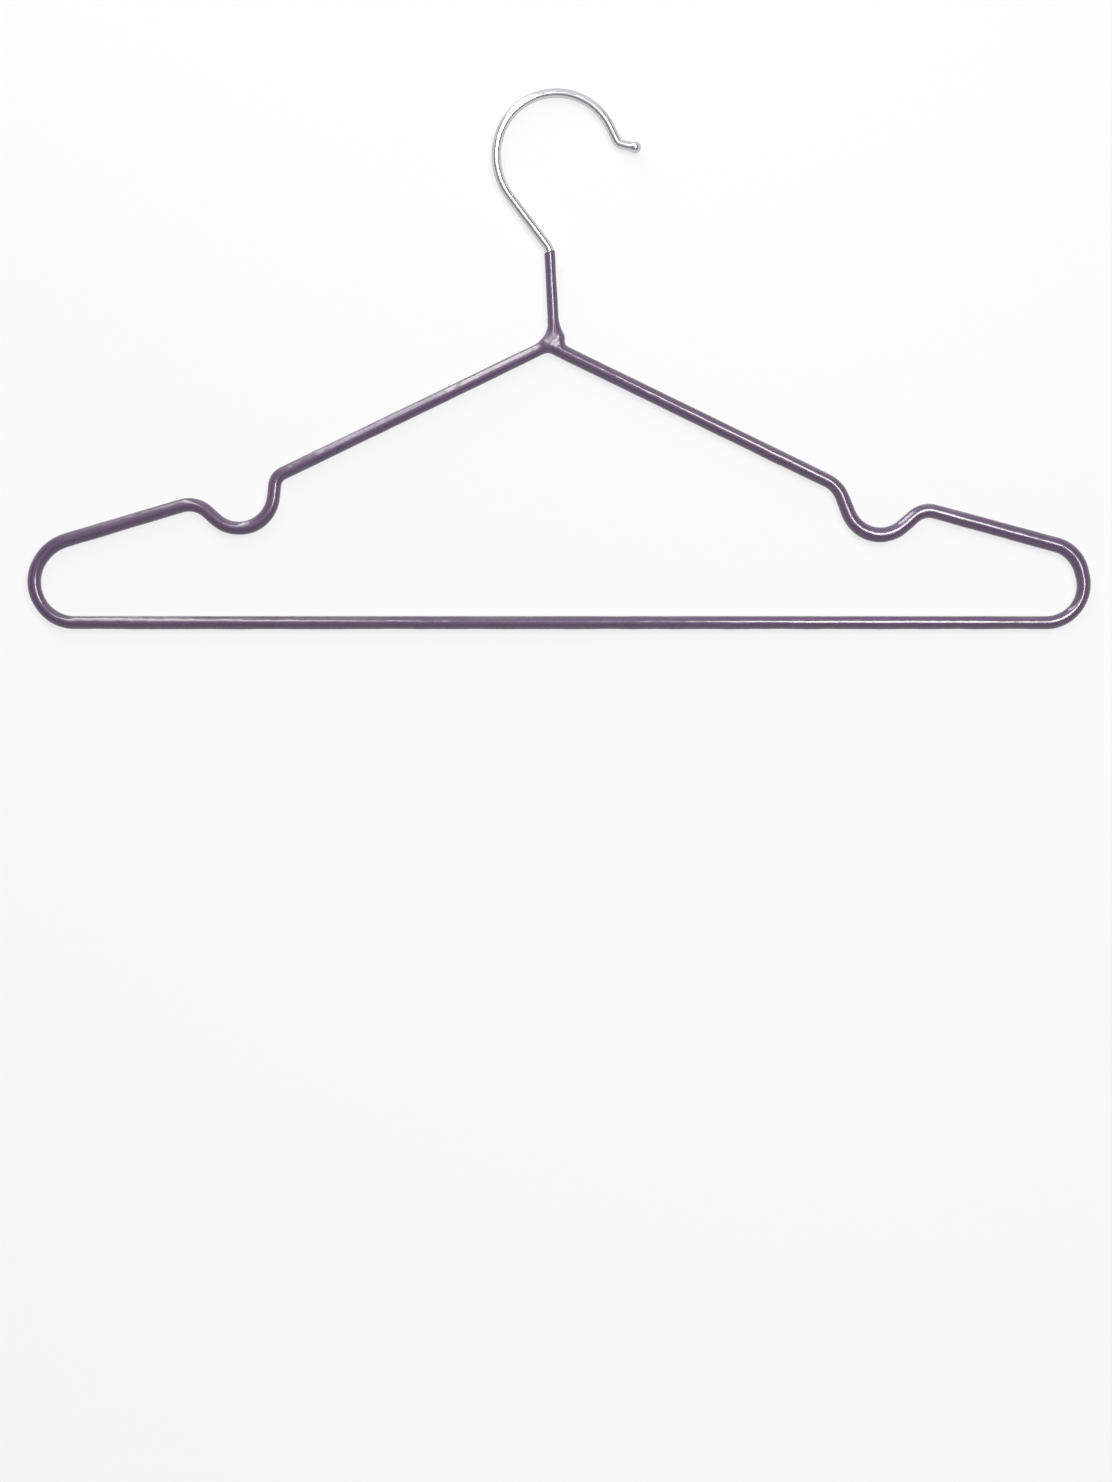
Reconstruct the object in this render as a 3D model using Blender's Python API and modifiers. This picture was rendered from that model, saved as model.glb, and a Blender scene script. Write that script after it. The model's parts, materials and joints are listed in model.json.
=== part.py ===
"""Dipped wire trouser hanger, in metres, +Z up, with the hanger in the XZ plane.

It is four pieces: a plated hook with a ball tip, a bent frame wire, the weld nugget that joins
them, and one dipped PVC coat that hides the frame wire, the nugget and the hook's shank.
The origin is the highest point of the inner side of the hook's crown, where a rail bears.
"""

import math

import bmesh
import bpy
from mathutils import Vector
from mathutils.geometry import intersect_line_line

# Wires. The hook's ball tip is upset from its own wire.
HOOK_WIRE = 0.0034
FRAME_WIRE = 0.0034
TIP_BALL = 0.0043

# Hook, as it is bent from the crown. Every radius is to the middle of the wire, and every angle
# is in degrees. The swell is the wider bend that carries the crown on into the leg.
CROWN_RADIUS = 0.0224
CROWN_TURN_TO_LEG = 70.0
SWELL_RADIUS = 0.0258
LEG_SLOPE = 52.8
LEG_LENGTH = 0.0226
NECK_BEND = 0.0060
NECK_LEAN = 3.0
SHANK_LENGTH = 0.0327
CROWN_TURN_TO_LIP = 64.0
FALL_LENGTH = 0.0055
LIP_BEND = 0.0036
LIP_TURN = 52.0
LIP_LENGTH = 0.0048

# Frame. Its corner lies a little to one side of the shank that stands on it, and each side steps
# outwards from there, corner by corner. Bent wire is never quite symmetrical, so each side has
# its own runs, its own falls (a rise is a fall below zero) and its own bends.
APEX_OFFSET = 0.0021
APEX_BEND = 0.0040
BAR_DROP = 0.1046

LEFT_SHOULDER_RUN = 0.1028
LEFT_SHOULDER_FALL = 0.0497
LEFT_SHOULDER_BEND = 0.0054
LEFT_NOTCH_RUN = 0.0036
LEFT_NOTCH_FALL = 0.0332
LEFT_NOTCH_BEND = 0.0131
LEFT_CREST_RUN = 0.0264
LEFT_CREST_RISE = 0.0239
LEFT_CREST_BEND = 0.0102
LEFT_ARM_RUN = 0.0565
LEFT_ARM_FALL = 0.0168
LEFT_ARM_BEND = 0.0168
LEFT_END_RUN = 0.0124
LEFT_END_BEND = 0.0154

RIGHT_SHOULDER_RUN = 0.1089
RIGHT_SHOULDER_FALL = 0.0531
RIGHT_SHOULDER_BEND = 0.0114
RIGHT_NOTCH_RUN = 0.0107
RIGHT_NOTCH_FALL = 0.0272
RIGHT_NOTCH_BEND = 0.0128
RIGHT_CREST_RUN = 0.0215
RIGHT_CREST_RISE = 0.0187
RIGHT_CREST_BEND = 0.0087
RIGHT_ARM_RUN = 0.0577
RIGHT_ARM_FALL = 0.0158
RIGHT_ARM_BEND = 0.0132
RIGHT_END_RUN = 0.0065
RIGHT_END_BEND = 0.0142

# Weld nugget: it swallows the wire ends at the apex and swells up and to the right of the shank.
WELD_PROUD = 0.0003
WELD_BULGE = 0.00065
WELD_SIDE = 0.0033
WELD_RISE = 0.0033

# PVC coat: its fit is the play that it has on the metal, and its walls are outside that. It runs
# up the shank into the neck bend, and thins towards its open lip. It drained to the right as it
# set, so the wall is thicker on that side, and thinner on the bar.
COAT_FIT = 0.0001
LEFT_WALL = 0.0007
RIGHT_WALL = 0.00085
BAR_WALL = 0.00055
NECK_WALL_LOW = 0.0005
NECK_WALL_HIGH = 0.0002
WELD_WALL = 0.00045
COAT_UP_THE_NECK = 0.0334
LIP_WALL = 0.00012
LIP_TAPER = 0.0008
WEB_HOLLOW = 0.0068
WEB_INSET = 0.00015
FLANK_RISE = 0.0052
BAR_WALL_BLEND = 0.0120

# Facets: the turn of one step in a bend, the bevel steps round a wire, and the sides of a ball and
# of the nugget. A shape that runs almost along another is turned by half a facet, so that no edge
# of one lies on an edge of the other. Cutters run past what they cut by the overrun, and points
# closer than the merge are one.
STEP_TURN = 7.5
WIRE_SIDE_STEPS = 4
HALF_FACET = math.pi / (2 * WIRE_SIDE_STEPS + 4)
BALL_SIDES = 16
CUT_OVERRUN = 0.0015
MERGE = 0.00001

# Finishes: base colour, metallic and roughness.
CHROME = ((0.80, 0.81, 0.82), 1.0, 0.12)
BARE_STEEL = ((0.42, 0.41, 0.40), 1.0, 0.45)
WELD_STEEL = ((0.26, 0.24, 0.23), 1.0, 0.60)
PURPLE_PVC = ((0.110, 0.068, 0.130), 0.0, 0.30)


def clear_scene():
    for old in list(bpy.data.objects):
        bpy.data.objects.remove(old, do_unlink=True)
    for old in list(bpy.data.collections):
        bpy.data.collections.remove(old)


def collection(name):
    made = bpy.data.collections.new(name)
    bpy.context.scene.collection.children.link(made)
    return made


class Bender:
    """Lays a centreline in the XZ plane as a wire is bent: fed straight, or turned round a former."""

    def __init__(self, start, heading):
        self.points = [Vector(start)]
        self.heading = heading

    def feed(self, length):
        turn = math.radians(self.heading)
        self.points.append(self.points[-1] + length * Vector((math.cos(turn), 0, math.sin(turn))))

    def bend(self, radius, turn):
        """A turn in degrees, anticlockwise as the hanger is seen from the front."""
        steps = max(1, math.ceil(abs(turn) / STEP_TURN))
        chord = 2 * radius * math.sin(math.radians(abs(turn) / steps) / 2)
        for _ in range(steps):
            self.heading += turn / steps / 2
            self.feed(chord)
            self.heading += turn / steps / 2


def turned_corner(corner, back, ahead, radius):
    """The points round one corner at this radius. back and ahead point along its two legs."""
    half = back.angle(ahead) / 2
    tangent = radius / math.tan(half)
    centre = corner + (back + ahead).normalized() * radius / math.sin(half)
    first = corner + back * tangent - centre
    last = corner + ahead * tangent - centre
    turn = first.angle(last)
    steps = max(1, math.ceil(math.degrees(turn) / STEP_TURN))
    points = []
    for k in range(steps + 1):
        share = k / steps
        spoke = first * math.sin((1 - share) * turn) + last * math.sin(share * turn)
        points.append(centre + spoke / math.sin(turn))
    return points


def rounded_loop(corners, bends):
    """The closed centreline through these corners, each turned at its bend radius.

    Where two bends would run into each other on the leg between them, both are eased to fit.
    """
    afters = corners[1:] + corners[:1]
    legs = [after - here for here, after in zip(corners, afters)]
    tangents = []
    for i, bend in enumerate(bends):
        tangents.append(bend / math.tan(legs[i].angle(-legs[i - 1]) / 2))
    eases = []
    for i, leg in enumerate(legs):
        eases.append(min(1, leg.length / (tangents[i] + tangents[(i + 1) % len(legs)])))

    points = []
    for i, bend in enumerate(bends):
        back = -legs[i - 1].normalized()
        ahead = legs[i].normalized()
        points += turned_corner(corners[i], back, ahead, bend * min(eases[i - 1], eases[i]))
    return points


def tail_of(points, length):
    """The last stretch of a centreline, cut to this length along it."""
    kept = [points[-1]]
    left = length
    for here, before in zip(reversed(points), reversed(points[:-1])):
        step = (before - here).length
        if step >= left:
            kept.append(here.lerp(before, left / step))
            break
        kept.append(before)
        left -= step
    return kept[::-1]


def lengths_along(points):
    """How far along the centreline each of its points lies."""
    along = [0.0]
    for before, here in zip(points, points[1:]):
        along.append(along[-1] + (here - before).length)
    return along


def link(name, data, home):
    made = bpy.data.objects.new(name, data)
    home.objects.link(made)
    return made


def tube(name, points, radii, home, closed=False, tilt=0.0):
    """A round tube along the points as a mesh, with its ends capped or its loop closed."""
    thickest = max(radii)
    curve = bpy.data.curves.new(name, "CURVE")
    curve.dimensions = "3D"
    curve.bevel_depth = thickest
    curve.bevel_resolution = WIRE_SIDE_STEPS
    curve.use_fill_caps = not closed
    line = curve.splines.new("POLY")
    line.points.add(len(points) - 1)
    line.use_cyclic_u = closed
    for point, place, radius in zip(line.points, points, radii):
        point.co = (*place, 1)
        point.radius = radius / thickest
        point.tilt = tilt
    drawn = link(name + "_line", curve, home)
    graph = bpy.context.evaluated_depsgraph_get()
    mesh = bpy.data.meshes.new_from_object(drawn.evaluated_get(graph))
    shape = bmesh.new()
    shape.from_mesh(mesh)
    bmesh.ops.remove_doubles(shape, verts=shape.verts, dist=MERGE)
    bmesh.ops.recalc_face_normals(shape, faces=shape.faces)
    shape.to_mesh(mesh)
    shape.free()
    made = link(name, mesh, home)
    made.matrix_world = drawn.matrix_world
    bpy.data.objects.remove(drawn, do_unlink=True)
    return made


def plain_tube(name, points, radius, home, closed=False):
    return tube(name, points, [radius] * len(points), home, closed)


def nugget(name, low, high, grow, home):
    """A turned drop round the weld's low and high centres, grown all over by one amount."""
    low_radius = FRAME_WIRE / 2 + WELD_PROUD + grow
    high_radius = HOOK_WIRE / 2 + WELD_BULGE + grow
    span = (high - low).length
    flank = math.degrees(math.acos((low_radius - high_radius) / span))
    profile = []
    for angle, end, radius, centre in ((0, flank, high_radius, span), (flank, 180, low_radius, 0)):
        steps = math.ceil((end - angle) * BALL_SIDES / 360)
        for k in range(steps + 1):
            turn = math.radians(angle + (end - angle) * k / steps)
            profile.append((radius * math.sin(turn), 0, centre + radius * math.cos(turn)))
    mesh = bpy.data.meshes.new(name)
    mesh.from_pydata(profile, [(i, i + 1) for i in range(len(profile) - 1)], [])
    made = link(name, mesh, home)
    made.location = low
    made.rotation_mode = "QUATERNION"
    made.rotation_quaternion = (high - low).to_track_quat("Z", "Y")
    turned = made.modifiers.new("turned", "SCREW")
    turned.steps = turned.render_steps = BALL_SIDES
    turned.use_merge_vertices = True
    turned.merge_threshold = MERGE
    turned.use_smooth_shade = True
    return made


def ball(name, centre, diameter, home):
    mesh = bpy.data.meshes.new(name)
    shape = bmesh.new()
    bmesh.ops.create_uvsphere(
        shape, u_segments=BALL_SIDES, v_segments=BALL_SIDES // 2, radius=diameter / 2
    )
    shape.to_mesh(mesh)
    shape.free()
    made = link(name, mesh, home)
    made.location = centre
    return made


def shape_with(made, operation, others):
    """Joins the other shapes to this one, or cuts them from it, and closes up the slivers left."""
    for other in others:
        step = made.modifiers.new(operation.lower() + "_" + other.name, "BOOLEAN")
        step.operation = operation
        step.solver = "EXACT"
        step.object = other
        closed_up = made.modifiers.new("closed_up_" + other.name, "WELD")
        closed_up.merge_threshold = MERGE


def hook_line():
    """The hook's centreline from its tip, over the crown and down to the end of the shank."""
    crown = (0, 0, HOOK_WIRE / 2)
    to_tip = Bender(crown, 0)
    to_tip.bend(CROWN_RADIUS, -CROWN_TURN_TO_LIP)
    to_tip.feed(FALL_LENGTH)
    to_tip.bend(LIP_BEND, LIP_TURN)
    to_tip.feed(LIP_LENGTH)

    to_shank = Bender(crown, 180)
    to_shank.bend(CROWN_RADIUS, CROWN_TURN_TO_LEG)
    to_shank.bend(SWELL_RADIUS, 180 - LEG_SLOPE - CROWN_TURN_TO_LEG)
    to_shank.feed(LEG_LENGTH)
    to_shank.bend(NECK_BEND, LEG_SLOPE + NECK_LEAN - 90)
    to_shank.feed(SHANK_LENGTH)
    return to_tip.points[:0:-1] + to_shank.points


def side_corners(apex, steps, end_run):
    """The corners of one side, from its shoulder to its end of the bar."""
    corners = []
    here = apex
    for run, fall in steps:
        here = here + Vector((run, 0, -fall))
        corners.append(here)
    corners.append(Vector((here.x + end_run, 0, apex.z - BAR_DROP)))
    return corners


def left_corners(apex):
    steps = (
        (-LEFT_SHOULDER_RUN, LEFT_SHOULDER_FALL),
        (-LEFT_NOTCH_RUN, LEFT_NOTCH_FALL),
        (-LEFT_CREST_RUN, -LEFT_CREST_RISE),
        (-LEFT_ARM_RUN, LEFT_ARM_FALL),
    )
    return side_corners(apex, steps, -LEFT_END_RUN)


def right_corners(apex):
    steps = (
        (RIGHT_SHOULDER_RUN, RIGHT_SHOULDER_FALL),
        (RIGHT_NOTCH_RUN, RIGHT_NOTCH_FALL),
        (RIGHT_CREST_RUN, -RIGHT_CREST_RISE),
        (RIGHT_ARM_RUN, RIGHT_ARM_FALL),
    )
    return side_corners(apex, steps, RIGHT_END_RUN)


def frame_line(apex):
    """The frame's closed centreline, clockwise from the apex as it is seen from the front."""
    left_bends = (
        LEFT_SHOULDER_BEND,
        LEFT_NOTCH_BEND,
        LEFT_CREST_BEND,
        LEFT_ARM_BEND,
        LEFT_END_BEND,
    )
    right_bends = (
        RIGHT_SHOULDER_BEND,
        RIGHT_NOTCH_BEND,
        RIGHT_CREST_BEND,
        RIGHT_ARM_BEND,
        RIGHT_END_BEND,
    )
    corners = [apex] + right_corners(apex) + left_corners(apex)[::-1]
    return rounded_loop(corners, [APEX_BEND, *right_bends, *left_bends[::-1]])


class Layout:
    """The lines and places that the four pieces share."""

    def __init__(self):
        self.hook = hook_line()
        shank_end = self.hook[-1]
        self.down = (shank_end - self.hook[-2]).normalized()
        # The shank stands on the frame wire, and the coat's neck runs on into the frame's coat.
        self.neck_foot = shank_end + self.down * FRAME_WIRE / 2
        self.apex = shank_end - Vector((APEX_OFFSET, 0, FRAME_WIRE / 2))
        self.frame = frame_line(self.apex)
        # The nugget sits on the bent centreline, which passes just under the frame's corner.
        self.weld_low = max(self.frame, key=lambda place: place.z)
        self.weld_high = self.weld_low + Vector((WELD_SIDE, 0, WELD_RISE))


def frame_coat_radii(layout):
    """The coat's outer radius along the frame, from the wall of each side down to the bar's."""
    bar_height = layout.apex.z - BAR_DROP
    radii = []
    for place in layout.frame:
        side_wall = LEFT_WALL if place.x < layout.apex.x else RIGHT_WALL
        share = min(1, (place.z - bar_height) / BAR_WALL_BLEND)
        wall = BAR_WALL + share * (side_wall - BAR_WALL)
        radii.append(FRAME_WIRE / 2 + COAT_FIT + wall)
    return radii


def neck_shape(layout, home):
    """The coat's neck: a tapered lip, then a wall that thickens slowly down to the frame."""
    below_lip = tail_of(layout.hook, COAT_UP_THE_NECK - LIP_TAPER)
    lip = tail_of(layout.hook, COAT_UP_THE_NECK)[: 1 - len(below_lip)]
    points = lip + below_lip + [layout.neck_foot]
    along = lengths_along(points)
    radii = []
    for length in along:
        wall = NECK_WALL_HIGH + (NECK_WALL_LOW - NECK_WALL_HIGH) * length / along[-1]
        lip_wall = LIP_WALL + (wall - LIP_WALL) * min(1, length / LIP_TAPER)
        radii.append(HOOK_WIRE / 2 + COAT_FIT + lip_wall)
    return tube("neck_shape", points, radii, home)


def web_shape(layout, home):
    """The hollow sweep of coat that fills the corner between the neck and the left shoulder."""
    shoulder = left_corners(layout.apex)[0]
    foot = layout.neck_foot
    corner = intersect_line_line(foot, foot - layout.down, layout.apex, shoulder)[0]
    out = (shoulder - layout.apex).normalized()
    thickness = HOOK_WIRE / 2 + COAT_FIT + NECK_WALL_LOW - WEB_INSET
    sweep = turned_corner(corner, -layout.down, out, WEB_HOLLOW + thickness)
    points = [sweep[0] - layout.down * FRAME_WIRE] + sweep + [sweep[-1] + out * FRAME_WIRE]
    return tube("web_shape", points, [thickness] * len(points), home, tilt=HALF_FACET)


def bulge_shapes(layout, home):
    """The swelling over the nugget, and the flank that leads it from the neck to the shoulder."""
    grow = COAT_FIT + WELD_WALL
    bulge = nugget("bulge_shape", layout.weld_low, layout.weld_high, grow, home)
    rise = (layout.weld_high - layout.neck_foot).z + FLANK_RISE
    top = tail_of(layout.hook + [layout.neck_foot], rise)[0]
    shoulder = right_corners(layout.apex)[0]
    reach = (layout.weld_high - layout.apex).x / RIGHT_SHOULDER_RUN
    landing = layout.apex.lerp(shoulder, reach)
    radii = (
        HOOK_WIRE / 2 + COAT_FIT + NECK_WALL_HIGH,
        HOOK_WIRE / 2 + WELD_BULGE + grow - WEB_INSET,
        FRAME_WIRE / 2 + COAT_FIT + RIGHT_WALL - WEB_INSET,
    )
    line = [top, layout.weld_high, landing]
    flank = tube("flank_shape", line, radii, home, tilt=HALF_FACET)
    return [bulge, flank]


def make_bores(layout, home):
    """The room for the nugget alone, and the room for all the metal inside the coat."""
    pocket = nugget("weld_pocket", layout.weld_low, layout.weld_high, COAT_FIT, home)
    shank = tail_of(layout.hook, COAT_UP_THE_NECK + CUT_OVERRUN)
    shank_bore = plain_tube("shank_bore", shank, HOOK_WIRE / 2 + COAT_FIT, home)
    bores = plain_tube("bores", layout.frame, FRAME_WIRE / 2 + COAT_FIT, home, closed=True)
    # The bores are joined first, so that the coat is cut once and never holds a sealed hollow.
    shape_with(bores, "UNION", [shank_bore, pocket])
    return pocket, bores


def make_hook(layout, pocket, home, shapes):
    hook = plain_tube("hook", layout.hook, HOOK_WIRE / 2, home)
    shape_with(hook, "UNION", [ball("tip_ball", layout.hook[0], TIP_BALL, shapes)])
    shape_with(hook, "DIFFERENCE", [pocket])
    return hook


def make_frame_wire(layout, pocket, home):
    """The frame's wire. The nugget takes the place of its two ends, so its pocket opens the loop."""
    frame_wire = plain_tube("frame_wire", layout.frame, FRAME_WIRE / 2, home, closed=True)
    shape_with(frame_wire, "DIFFERENCE", [pocket])
    return frame_wire


def make_coat(layout, bores, home, shapes):
    coat = tube("pvc_coat", layout.frame, frame_coat_radii(layout), home, closed=True)
    joined = [neck_shape(layout, shapes), web_shape(layout, shapes)]
    shape_with(coat, "UNION", joined + bulge_shapes(layout, shapes))
    shape_with(coat, "DIFFERENCE", [bores])
    return coat


def dress(piece, name, finish, seat):
    """Gives a piece its own material and smooth shading, and hangs it from the seat."""
    base, metallic, roughness = finish
    material = bpy.data.materials.new(name)
    material.use_nodes = True
    shader = material.node_tree.nodes["Principled BSDF"]
    shader.inputs["Base Color"].default_value = (*base, 1)
    shader.inputs["Metallic"].default_value = metallic
    shader.inputs["Roughness"].default_value = roughness
    piece.data.materials.append(material)
    piece.data.shade_smooth()
    piece.parent = seat


def main():
    clear_scene()
    hanger = collection("trouser_hanger")
    shapes = collection("joined_shapes")
    cutters = collection("cutters")
    layout = Layout()
    pocket, bores = make_bores(layout, cutters)

    hook_seat = link("hook_seat", None, hanger)
    hook = make_hook(layout, pocket, hanger, shapes)
    frame_wire = make_frame_wire(layout, pocket, hanger)
    neck_weld = nugget("neck_weld", layout.weld_low, layout.weld_high, 0, hanger)
    pvc_coat = make_coat(layout, bores, hanger, shapes)
    dress(hook, "chrome_plate", CHROME, hook_seat)
    dress(frame_wire, "bare_steel", BARE_STEEL, hook_seat)
    dress(neck_weld, "weld_steel", WELD_STEEL, hook_seat)
    dress(pvc_coat, "purple_pvc", PURPLE_PVC, hook_seat)

    for helper in [*shapes.objects, *cutters.objects]:
        helper.hide_render = True
        helper.display_type = "WIRE"
    print("wire in the frame:", round(lengths_along(layout.frame)[-1] * 1000), "mm")
    print("wire in the hook:", round(lengths_along(layout.hook)[-1] * 1000), "mm")


main()
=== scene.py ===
# %% [markdown]
# # A dipped wire trouser hanger
#
# The object is a steel wire hanger. A plated hook with a ball tip is welded to a bent frame wire,
# and the whole frame was then dipped in purple PVC, up to the top of the hook's neck.
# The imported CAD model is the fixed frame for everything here: metres, +Z up, the hanger in the XZ
# plane with its front towards -Y, and the origin where the hook bears on a rail. Whatever the scene
# started with goes first, so that it isn't measured as part of the hanger.

import collections
import json
import math

import bmesh
import bpy
from mathutils import Matrix, Vector

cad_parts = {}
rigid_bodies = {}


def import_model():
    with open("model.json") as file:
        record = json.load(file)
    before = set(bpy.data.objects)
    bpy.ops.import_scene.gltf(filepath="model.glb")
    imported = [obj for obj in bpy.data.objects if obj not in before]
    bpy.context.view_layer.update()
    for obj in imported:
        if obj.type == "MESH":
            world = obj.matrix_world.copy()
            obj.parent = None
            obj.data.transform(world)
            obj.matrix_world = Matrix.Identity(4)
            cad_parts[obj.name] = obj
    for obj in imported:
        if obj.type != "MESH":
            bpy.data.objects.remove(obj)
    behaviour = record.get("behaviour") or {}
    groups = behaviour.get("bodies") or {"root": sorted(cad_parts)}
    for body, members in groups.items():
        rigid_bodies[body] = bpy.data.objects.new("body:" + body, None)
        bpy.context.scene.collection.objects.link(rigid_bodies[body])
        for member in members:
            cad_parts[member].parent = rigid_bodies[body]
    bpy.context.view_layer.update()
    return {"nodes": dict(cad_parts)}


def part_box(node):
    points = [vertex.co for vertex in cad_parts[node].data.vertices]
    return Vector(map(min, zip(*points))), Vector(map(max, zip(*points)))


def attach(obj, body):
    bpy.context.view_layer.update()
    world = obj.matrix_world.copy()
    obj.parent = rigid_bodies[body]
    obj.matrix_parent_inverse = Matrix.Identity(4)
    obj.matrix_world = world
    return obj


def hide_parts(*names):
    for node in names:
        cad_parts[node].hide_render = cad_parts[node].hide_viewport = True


for old in list(bpy.data.objects):
    bpy.data.objects.remove(old, do_unlink=True)
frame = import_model()
MM = 0.001


def mm(length):
    return round(length / MM, 2)


print("CAD nodes:", ", ".join(sorted(frame["nodes"])))

# %% [markdown]
# ## Bent wire as a line
#
# Every piece of this hanger follows a bent wire, so the work starts with two centrelines. They
# could be drawn by hand as curves, but a wire former leaves only straight runs and round bends.
# So the hook is laid as it is bent, fed and turned in order, with a point every few degrees.

# %% A wire former
BEND_STEP = 3.0  # degrees


class Former:
    """Lays a centreline in the XZ plane as wire is bent: fed straight, or turned round a pin."""

    def __init__(self, start, heading):
        self.points = [Vector(start)]
        self.heading = heading

    def feed(self, length):
        turn = math.radians(self.heading)
        self.points.append(self.points[-1] + length * Vector((math.cos(turn), 0, math.sin(turn))))

    def bend(self, radius, turn):
        steps = math.ceil(abs(turn) / BEND_STEP)
        chord = 2 * radius * math.sin(math.radians(abs(turn) / steps) / 2)
        for _ in range(steps):
            self.heading += turn / steps / 2
            self.feed(chord)
            self.heading += turn / steps / 2


# %% [markdown]
# The hook starts at its crown and goes both ways: over to the fall and the lip with its tip, and
# round a wider swell to the leg, the neck's bend and the shank. A radius is to the wire's middle,
# and a turn is in degrees, to the left where it is above zero.

# %% The hook's line, from its tip to the end of its shank
HOOK_WIRE = 3.4 * MM
CROWN_RADIUS, CROWN_TO_LIP, CROWN_TO_LEG = 22.4 * MM, -64.0, 70.0
FALL_LENGTH = 5.5 * MM
LIP_BEND, LIP_TURN, LIP_LENGTH = 3.6 * MM, 52.0, 4.8 * MM
SWELL_RADIUS, SWELL_TURN = 25.8 * MM, 57.2
LEG_LENGTH = 22.6 * MM
NECK_BEND, NECK_TURN = 6.0 * MM, -34.2
SHANK_LENGTH = 32.7 * MM

crown_top = (0, 0, HOOK_WIRE / 2)
to_tip = Former(crown_top, heading=0)
to_tip.bend(CROWN_RADIUS, CROWN_TO_LIP)
to_tip.feed(FALL_LENGTH)
to_tip.bend(LIP_BEND, LIP_TURN)
to_tip.feed(LIP_LENGTH)

to_shank = Former(crown_top, heading=180)
to_shank.bend(CROWN_RADIUS, CROWN_TO_LEG)
to_shank.bend(SWELL_RADIUS, SWELL_TURN)
to_shank.feed(LEG_LENGTH)
to_shank.bend(NECK_BEND, NECK_TURN)
to_shank.feed(SHANK_LENGTH)

hook_line = to_tip.points[:0:-1] + to_shank.points
shank_end = hook_line[-1]
down = (shank_end - hook_line[-2]).normalized()
low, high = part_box("hook")
print("hook's line reaches x", [mm(p.x) for p in (hook_line[0], shank_end)])
print("CAD hook spans x", mm(low.x), "to", mm(high.x))

# %% [markdown]
# ## The frame's outline
#
# The frame is one closed wire. From the apex each side falls to a shoulder, dips into a notch for
# a skirt's loops, climbs to a crest, runs out along an arm and turns round an end to the straight
# bar. It is easiest to read as corners that are rounded afterwards, so each corner is a row: how
# far out and down it lies from the one before, its bend, and how thick the coat came out there.

# %% The frame's corners
FRAME_WIRE = 3.4 * MM
BAR_DROP = 104.6 * MM
APEX_OFFSET = 2.1 * MM
APEX_BEND = 4.0 * MM
Corner = collections.namedtuple("Corner", "run fall bend coat")
RIGHT_SIDE = {
    "shoulder": Corner(108.9 * MM, 53.1 * MM, 11.4 * MM, 5.25 * MM),
    "notch": Corner(10.7 * MM, 27.2 * MM, 12.8 * MM, 5.65 * MM),
    "crest": Corner(21.5 * MM, -18.7 * MM, 8.7 * MM, 5.40 * MM),
    "arm": Corner(57.7 * MM, 15.8 * MM, 13.2 * MM, 5.75 * MM),
    "end": Corner(6.5 * MM, None, 14.2 * MM, 4.95 * MM),
}
LEFT_SIDE = {
    "shoulder": Corner(102.8 * MM, 49.7 * MM, 5.4 * MM, 4.95 * MM),
    "notch": Corner(3.6 * MM, 33.2 * MM, 13.1 * MM, 5.10 * MM),
    "crest": Corner(26.4 * MM, -23.9 * MM, 10.2 * MM, 5.15 * MM),
    "arm": Corner(56.5 * MM, 16.8 * MM, 16.8 * MM, 5.30 * MM),
    "end": Corner(12.4 * MM, None, 15.4 * MM, 5.00 * MM),
}
apex = shank_end - Vector((APEX_OFFSET, 0, FRAME_WIRE / 2))
bar_height = apex.z - BAR_DROP


def corner_places(side, sign):
    """Where one side's corners lie, from its shoulder to its end of the bar."""
    places = []
    here = apex
    for row in side.values():
        drop = here.z - bar_height if row.fall is None else row.fall
        here = here + Vector((sign * row.run, 0, -drop))
        places.append(here)
    return places


right_places = corner_places(RIGHT_SIDE, 1)
left_places = corner_places(LEFT_SIDE, -1)
print("shoulders, mm:", [[mm(x) for x in p[0]] for p in (left_places, right_places)])

# %% [markdown]
# A corner is rounded by an arc that touches both of its legs. Where two arcs would overlap on a
# short leg, as at the round ends, both are eased until they just meet.

# %% Rounding the corners
def rounded_corner(corner, back, ahead, radius):
    """The points of the arc that touches both legs, which back and ahead point along."""
    half = back.angle(ahead) / 2
    centre = corner + (back + ahead).normalized() * radius / math.sin(half)
    first = corner + back * radius / math.tan(half) - centre
    last = corner + ahead * radius / math.tan(half) - centre
    turn = first.angle(last)
    steps = math.ceil(math.degrees(turn) / BEND_STEP)
    points = []
    for k in range(steps + 1):
        share = k / steps
        spoke = first * math.sin((1 - share) * turn) + last * math.sin(share * turn)
        points.append(centre + spoke / math.sin(turn))
    return points


def rounded_loop(places, bends):
    """A list of arcs, one for each corner of the closed outline."""
    legs = [after - here for here, after in zip(places, places[1:] + places[:1])]
    tangents = []
    for i, bend in enumerate(bends):
        tangents.append(bend / math.tan(legs[i].angle(-legs[i - 1]) / 2))
    eases = []
    for i, leg in enumerate(legs):
        eases.append(min(1, leg.length / (tangents[i] + tangents[(i + 1) % len(legs)])))
    arcs = []
    for i, bend in enumerate(bends):
        eased = bend * min(eases[i - 1], eases[i])
        back, ahead = -legs[i - 1].normalized(), legs[i].normalized()
        arcs.append(rounded_corner(places[i], back, ahead, eased))
    return arcs


rows = [*RIGHT_SIDE.values(), *reversed(LEFT_SIDE.values())]
places = [apex, *right_places, *reversed(left_places)]
apex_arc, *side_arcs = rounded_loop(places, [APEX_BEND] + [row.bend for row in rows])
frame_line = [p for arc in (apex_arc, *side_arcs) for p in arc]
low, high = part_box("frame_wire")
print("frame's line spans x", mm(min(p.x for p in frame_line)), "to",
      mm(max(p.x for p in frame_line)))
print("CAD frame wire spans x", mm(low.x), "to", mm(high.x))

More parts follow.
